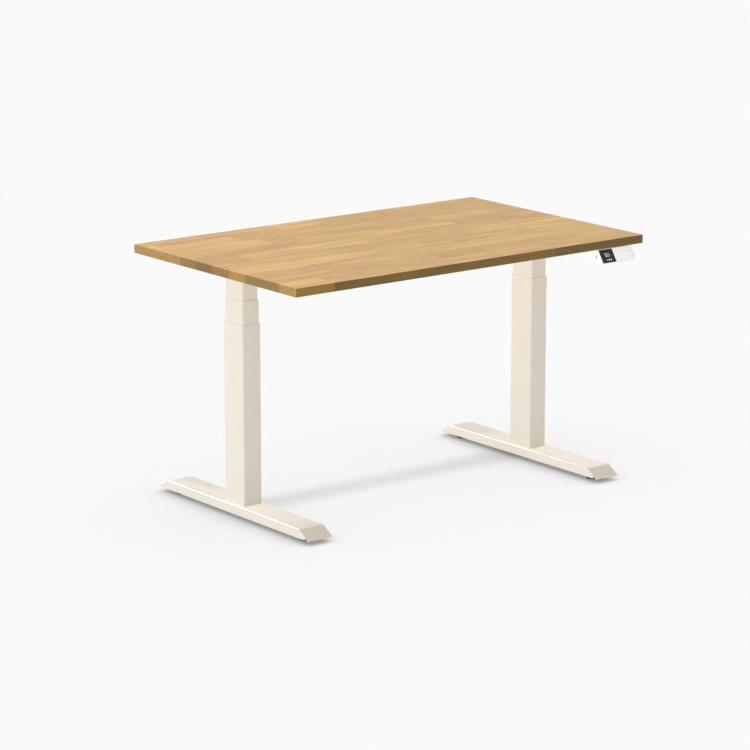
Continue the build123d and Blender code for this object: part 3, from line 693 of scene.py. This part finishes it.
def circuit_resist(name):
    """Green resist over copper tracks."""
    board = Finish(name, Roughness=0.35, IOR=1.5)
    tracks = board.add(
        "TexVoronoi", {"Vector": board.place, "Scale": 320.0}, out="Distance", distance="CHEBYCHEV"
    )
    bare = board.spread(tracks, 0.3, 0.34, 0.0, 1.0)
    shade = board.blend(bare, rgba((0.02, 0.12, 0.05)), rgba((0.04, 0.20, 0.09)))
    board.feed(board.shader.inputs["Base Color"], shade)
    board.bump(tracks, 0.00005, 0.4)
    return board.material


black_plastic = moulded_plastic("black case plastic", (0.020, 0.020, 0.021), 0.5, 700.0)
board_resist = circuit_resist("circuit board resist")
softened("control_box_tray", 0.0003, black_plastic)
softened("control_box_cover", 0.0005, black_plastic)
softened("control_box_sockets", 0.0, black_plastic)
for board in ("control_board", "handset_board"):
    keep_drawn(board, board_resist)

# ------------------------------------------------------------------ handset
# White moulded case screwed under the front edge. A dark glazed display fills its left end,
# a rocking paddle with a raised ridge its right end, and a charging port its left side.
TILT = math.radians(57.0)
DIGIT_W, DIGIT_H, STROKE = 0.0048, 0.0095, 0.0009
DIGIT_PITCH, BAR_GAP = 1.45, 0.12  # digit to digit in widths, bar to bar in strokes
READING_IN, READING_DOWN = 0.0130, 0.0135
KEY_W, KEY_H, KEY_STROKE, KEY_PITCH = 0.0034, 0.0052, 0.0011, 0.0072
KEYS_IN, KEYS_DOWN = 0.0170, 0.0303
PRINT_PROUD = 0.00008
SEGMENTS = {"7": "abc", "0": "abcdef", "5": "acdfg", "1": "bc", "2": "abdeg", "3": "abcdg"}


def face_point(x, down, out):
    """A point on the handset's face: along the desk, down the slope, and out from it."""
    low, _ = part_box("desktop")
    return Vector((
        x,
        low[1] - down * math.cos(TILT) - out * math.sin(TILT),
        low[2] - down * math.sin(TILT) + out * math.cos(TILT),
    ))


def bars_of(text, x, down, width, height, stroke):
    """Corners of the lit bars of a row of seven-bar digits, each a four-sided patch."""
    patches = []
    for digit in text:
        if digit == ".":
            low, left = height - stroke, x - stroke
            patches.append([(left, low), (x, low), (x, height), (left, height)])
            x += stroke * 1.2
            continue
        half = height / 2
        boxes = {
            "a": (0, width, 0, stroke), "d": (0, width, height - stroke, height),
            "g": (0, width, half - stroke / 2, half + stroke / 2), "f": (0, stroke, 0, half),
            "b": (width - stroke, width, 0, half), "e": (0, stroke, half, height),
            "c": (width - stroke, width, half, height),
        }
        for name in SEGMENTS[digit]:
            x0, x1, s0, s1 = boxes[name]
            gap = stroke * BAR_GAP
            x0, x1, s0, s1 = x0 + gap, x1 - gap, s0 + gap, s1 - gap
            patches.append([(x + x0, s0), (x + x1, s0), (x + x1, s1), (x + x0, s1)])
        x += width * DIGIT_PITCH
    return [[(px, down + ps) for px, ps in patch] for patch in patches]


def thin_print(name, patches, out, finish, thickness=0.00004):
    """Flat patches lying just proud of the face, each with a real thickness."""
    shape = bmesh.new()
    for patch in patches:
        under = [shape.verts.new(face_point(x, s, out - thickness)) for x, s in patch]
        over = [shape.verts.new(face_point(x, s, out)) for x, s in patch]
        shape.faces.new(under)
        shape.faces.new(over)
        count = len(patch)
        for i in range(count):
            shape.faces.new((under[i], under[(i + 1) % count], over[(i + 1) % count], over[i]))
    bmesh.ops.recalc_face_normals(shape, faces=shape.faces)
    mesh = bpy.data.meshes.new(name)
    shape.to_mesh(mesh)
    shape.free()
    mesh.materials.append(finish)
    piece = bpy.data.objects.new(name, mesh)
    bpy.context.scene.collection.objects.link(piece)
    return piece


def display_glazing(name):
    """Smoked satin glazing with a few wipe marks."""
    glazing = Finish(name, IOR=1.5, Specular_IOR_Level=0.3)
    smear = glazing.noise((60.0, 25.0, 25.0), 4.0)
    wiped = glazing.spread(smear, 0.35, 0.7, 0.0, 1.0)
    shade = glazing.blend(wiped, rgba((0.022, 0.022, 0.023)), rgba((0.034, 0.034, 0.035)))
    glazing.feed(glazing.shader.inputs["Base Color"], shade)
    glazing.feed(glazing.shader.inputs["Roughness"], glazing.spread(smear, 0.3, 0.7, 0.16, 0.3))
    glazing.bump(glazing.noise(300.0), 0.00001, 0.2)
    return glazing.material


def lit_digits(name):
    """White light-emitting bars behind the glazing, each a little uneven."""
    light = Finish(name, Roughness=0.4, Emission_Strength=0.55)
    glow = light.spread(light.noise(900.0), 0.3, 0.7, 0.86, 1.0)
    tint = light.tinted(rgba((0.92, 0.93, 0.95)), glow)
    light.feed(light.shader.inputs["Base Color"], tint)
    light.feed(light.shader.inputs["Emission Color"], tint)
    return light.material


white_plastic = moulded_plastic("white handset plastic", (0.86, 0.86, 0.85), 0.36, 1100.0)
paddle_plastic = moulded_plastic("off-white paddle plastic", (0.87, 0.87, 0.865), 0.40, 1100.0)
glazing = display_glazing("smoked display glazing")
digit_light = lit_digits("white display light")
softened("handset_housing", 0.0004, white_plastic)
softened("display_glass", 0.0005, glazing)
softened("paddle", 0.0004, paddle_plastic)
softened("usb_port", 0.0, zinc_plate)
keep_drawn("paddle_pin", zinc_plate)

glass_low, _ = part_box("display_glass")
reading = thin_print(
    "height_reading",
    bars_of("70.5", glass_low[0] + READING_IN, READING_DOWN, DIGIT_W, DIGIT_H, STROKE),
    PRINT_PROUD,
    digit_light,
)
keys = thin_print(
    "memory_numbers",
    [
        patch
        for index, digit in enumerate("123")
        for patch in bars_of(
            digit, glass_low[0] + KEYS_IN + KEY_PITCH * index, KEYS_DOWN, KEY_W, KEY_H, KEY_STROKE
        )
    ],
    PRINT_PROUD,
    digit_light,
)
for piece in (reading, keys):
    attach(piece, "top")

# ------------------------------------------------------------------ room
# A seamless pale floor, a soft key from the left, a low fill from the front and even light all
# round. Two overhead lights fall on the floor alone, held back by the feet and the crossbeam.
FLOOR_REACH = 60.0
CAMERA_AT = (-5.2709, -6.7353, 2.3629)
CAMERA_TURN, CAMERA_DOWN = 37.712, 13.427
LENS, SENSOR = 151.15, 36.0
BACKDROP = 0.9559
FLOOR_ALBEDO = 0.05
NEAR_SHADOW, BAND_SHADOW = 0.66, 0.27
AMBIENT = 0.50
SOFT, FEET_SOFT, WIDE, NARROW = 60.0, 20.0, 140.0, 11.0  # how wide each light looks, degrees
KEY_FROM, KEY_LEVEL = (-0.85, 0.10, 0.50), 0.57
FILL_FROM, FILL_LEVEL = (-0.10, -1.0, 0.05), 0.14


def group_of(name, things):
    """A collection for choosing what a light shines on or is blocked by."""
    group = bpy.data.collections.new(name)
    for thing in things:
        group.objects.link(thing)
    return group


def pale_floor():
    """Seamless floor, lit by two overhead lights of its own; a faint glow makes up the rest."""
    shape = bmesh.new()
    bmesh.ops.create_circle(shape, cap_ends=True, segments=64, radius=FLOOR_REACH)
    mesh = bpy.data.meshes.new("studio_floor")
    shape.to_mesh(mesh)
    shape.free()
    floor = bpy.data.objects.new("studio_floor", mesh)
    bpy.context.scene.collection.objects.link(floor)
    paper = Finish("pale floor paper", Roughness=1.0, Specular_IOR_Level=0.0)
    paper.shader.inputs["Base Color"].default_value = rgba((FLOOR_ALBEDO,) * 3)
    paper.shader.inputs["Emission Color"].default_value = rgba((1.0,) * 3)
    glow = BACKDROP - NEAR_SHADOW - BAND_SHADOW - FLOOR_ALBEDO * AMBIENT
    paper.shader.inputs["Emission Strength"].default_value = glow
    mesh.materials.append(paper.material)
    return floor


def sun(name, towards, level, softness, receivers, blockers):
    """Parallel light arriving from a direction; level 1 lights a facing surface to its own colour."""
    lamp = bpy.data.lights.new(name, "SUN")
    lamp.energy = level * math.pi
    lamp.angle = math.radians(softness)
    thing = bpy.data.objects.new(name, lamp)
    thing.rotation_euler = Vector(towards).to_track_quat("Z", "Y").to_euler()
    bpy.context.scene.collection.objects.link(thing)
    thing.light_linking.receiver_collection = receivers
    if blockers:
        thing.light_linking.blocker_collection = blockers
    return thing


def studio_world():
    """Even surrounding light, seen by the camera as the same tone as the floor."""
    world = bpy.data.worlds.new("studio")
    world.use_nodes = True
    tree = world.node_tree
    seen = tree.nodes.new("ShaderNodeLightPath")
    shell = tree.nodes["Background"]
    shell.inputs["Color"].default_value = rgba((AMBIENT,) * 3)
    backdrop = tree.nodes.new("ShaderNodeBackground")
    backdrop.inputs["Color"].default_value = rgba((BACKDROP,) * 3)
    either = tree.nodes.new("ShaderNodeMixShader")
    tree.links.new(seen.outputs["Is Camera Ray"], either.inputs[0])
    tree.links.new(shell.outputs[0], either.inputs[1])
    tree.links.new(backdrop.outputs[0], either.inputs[2])
    tree.links.new(either.outputs[0], tree.nodes["World Output"].inputs["Surface"])
    bpy.context.scene.world = world


def camera():
    """A long lens from the front left, a little above the desk."""
    lens = bpy.data.cameras.new("camera")
    lens.lens = LENS
    lens.sensor_width = SENSOR
    lens.clip_end = 200.0
    eye = bpy.data.objects.new("camera", lens)
    eye.location = CAMERA_AT
    eye.rotation_euler = (math.radians(90.0 - CAMERA_DOWN), 0.0, math.radians(-CAMERA_TURN))
    bpy.context.scene.collection.objects.link(eye)
    bpy.context.scene.camera = eye


pieces = [thing for thing in bpy.data.objects if thing.type == "MESH"]


def named_with(*words):
    """The pieces whose names hold any of some words."""
    return [thing for thing in pieces if any(word in thing.name for word in words)]


legs = named_with("foot", "tube", "pad", "collar")
feet = [thing for thing in legs if thing.name.endswith("foot_made")]
floor = pale_floor()
raised_group = group_of("everything but the feet", [thing for thing in pieces if thing not in feet])
leg_group = group_of("legs", legs)
feet_group = group_of("feet", feet)
desktop_group = group_of("desktop", [desktop])
ground_group = group_of("feet and pads", [thing for thing in legs if thing in named_with("foot", "pad")])
cross_group = group_of("crossbeam", named_with("sleeve", "centre_beam"))
handset_group = group_of("handset", named_with("handset_housing_made", "paddle_made"))
floor_group = group_of("floor only", [floor])
studio_world()
sun("key from the left", KEY_FROM, KEY_LEVEL, SOFT, raised_group, leg_group)
sun("key on the feet", KEY_FROM, KEY_LEVEL, SOFT, feet_group, feet_group)
sun("fill from the front", FILL_FROM, FILL_LEVEL, SOFT, raised_group, leg_group)
sun("light on the desktop", (0.0, 0.30, 1.0), 0.41, SOFT, desktop_group, desktop_group)
sun("light on the feet", (0.0, 0.80, 0.60), 1.0, FEET_SOFT, feet_group, feet_group)
sun("wide overhead light", (0.0, 0.0, 1.0), NEAR_SHADOW / FLOOR_ALBEDO, WIDE, floor_group, ground_group)
sun("light on the handset", (-0.2, -0.90, 0.40), 0.16, SOFT, handset_group, handset_group)
sun("narrow overhead light", (0.0, -0.088, 1.0), BAND_SHADOW / FLOOR_ALBEDO, NARROW, floor_group, cross_group)
camera()
bpy.context.scene.view_settings.view_transform = "Standard"
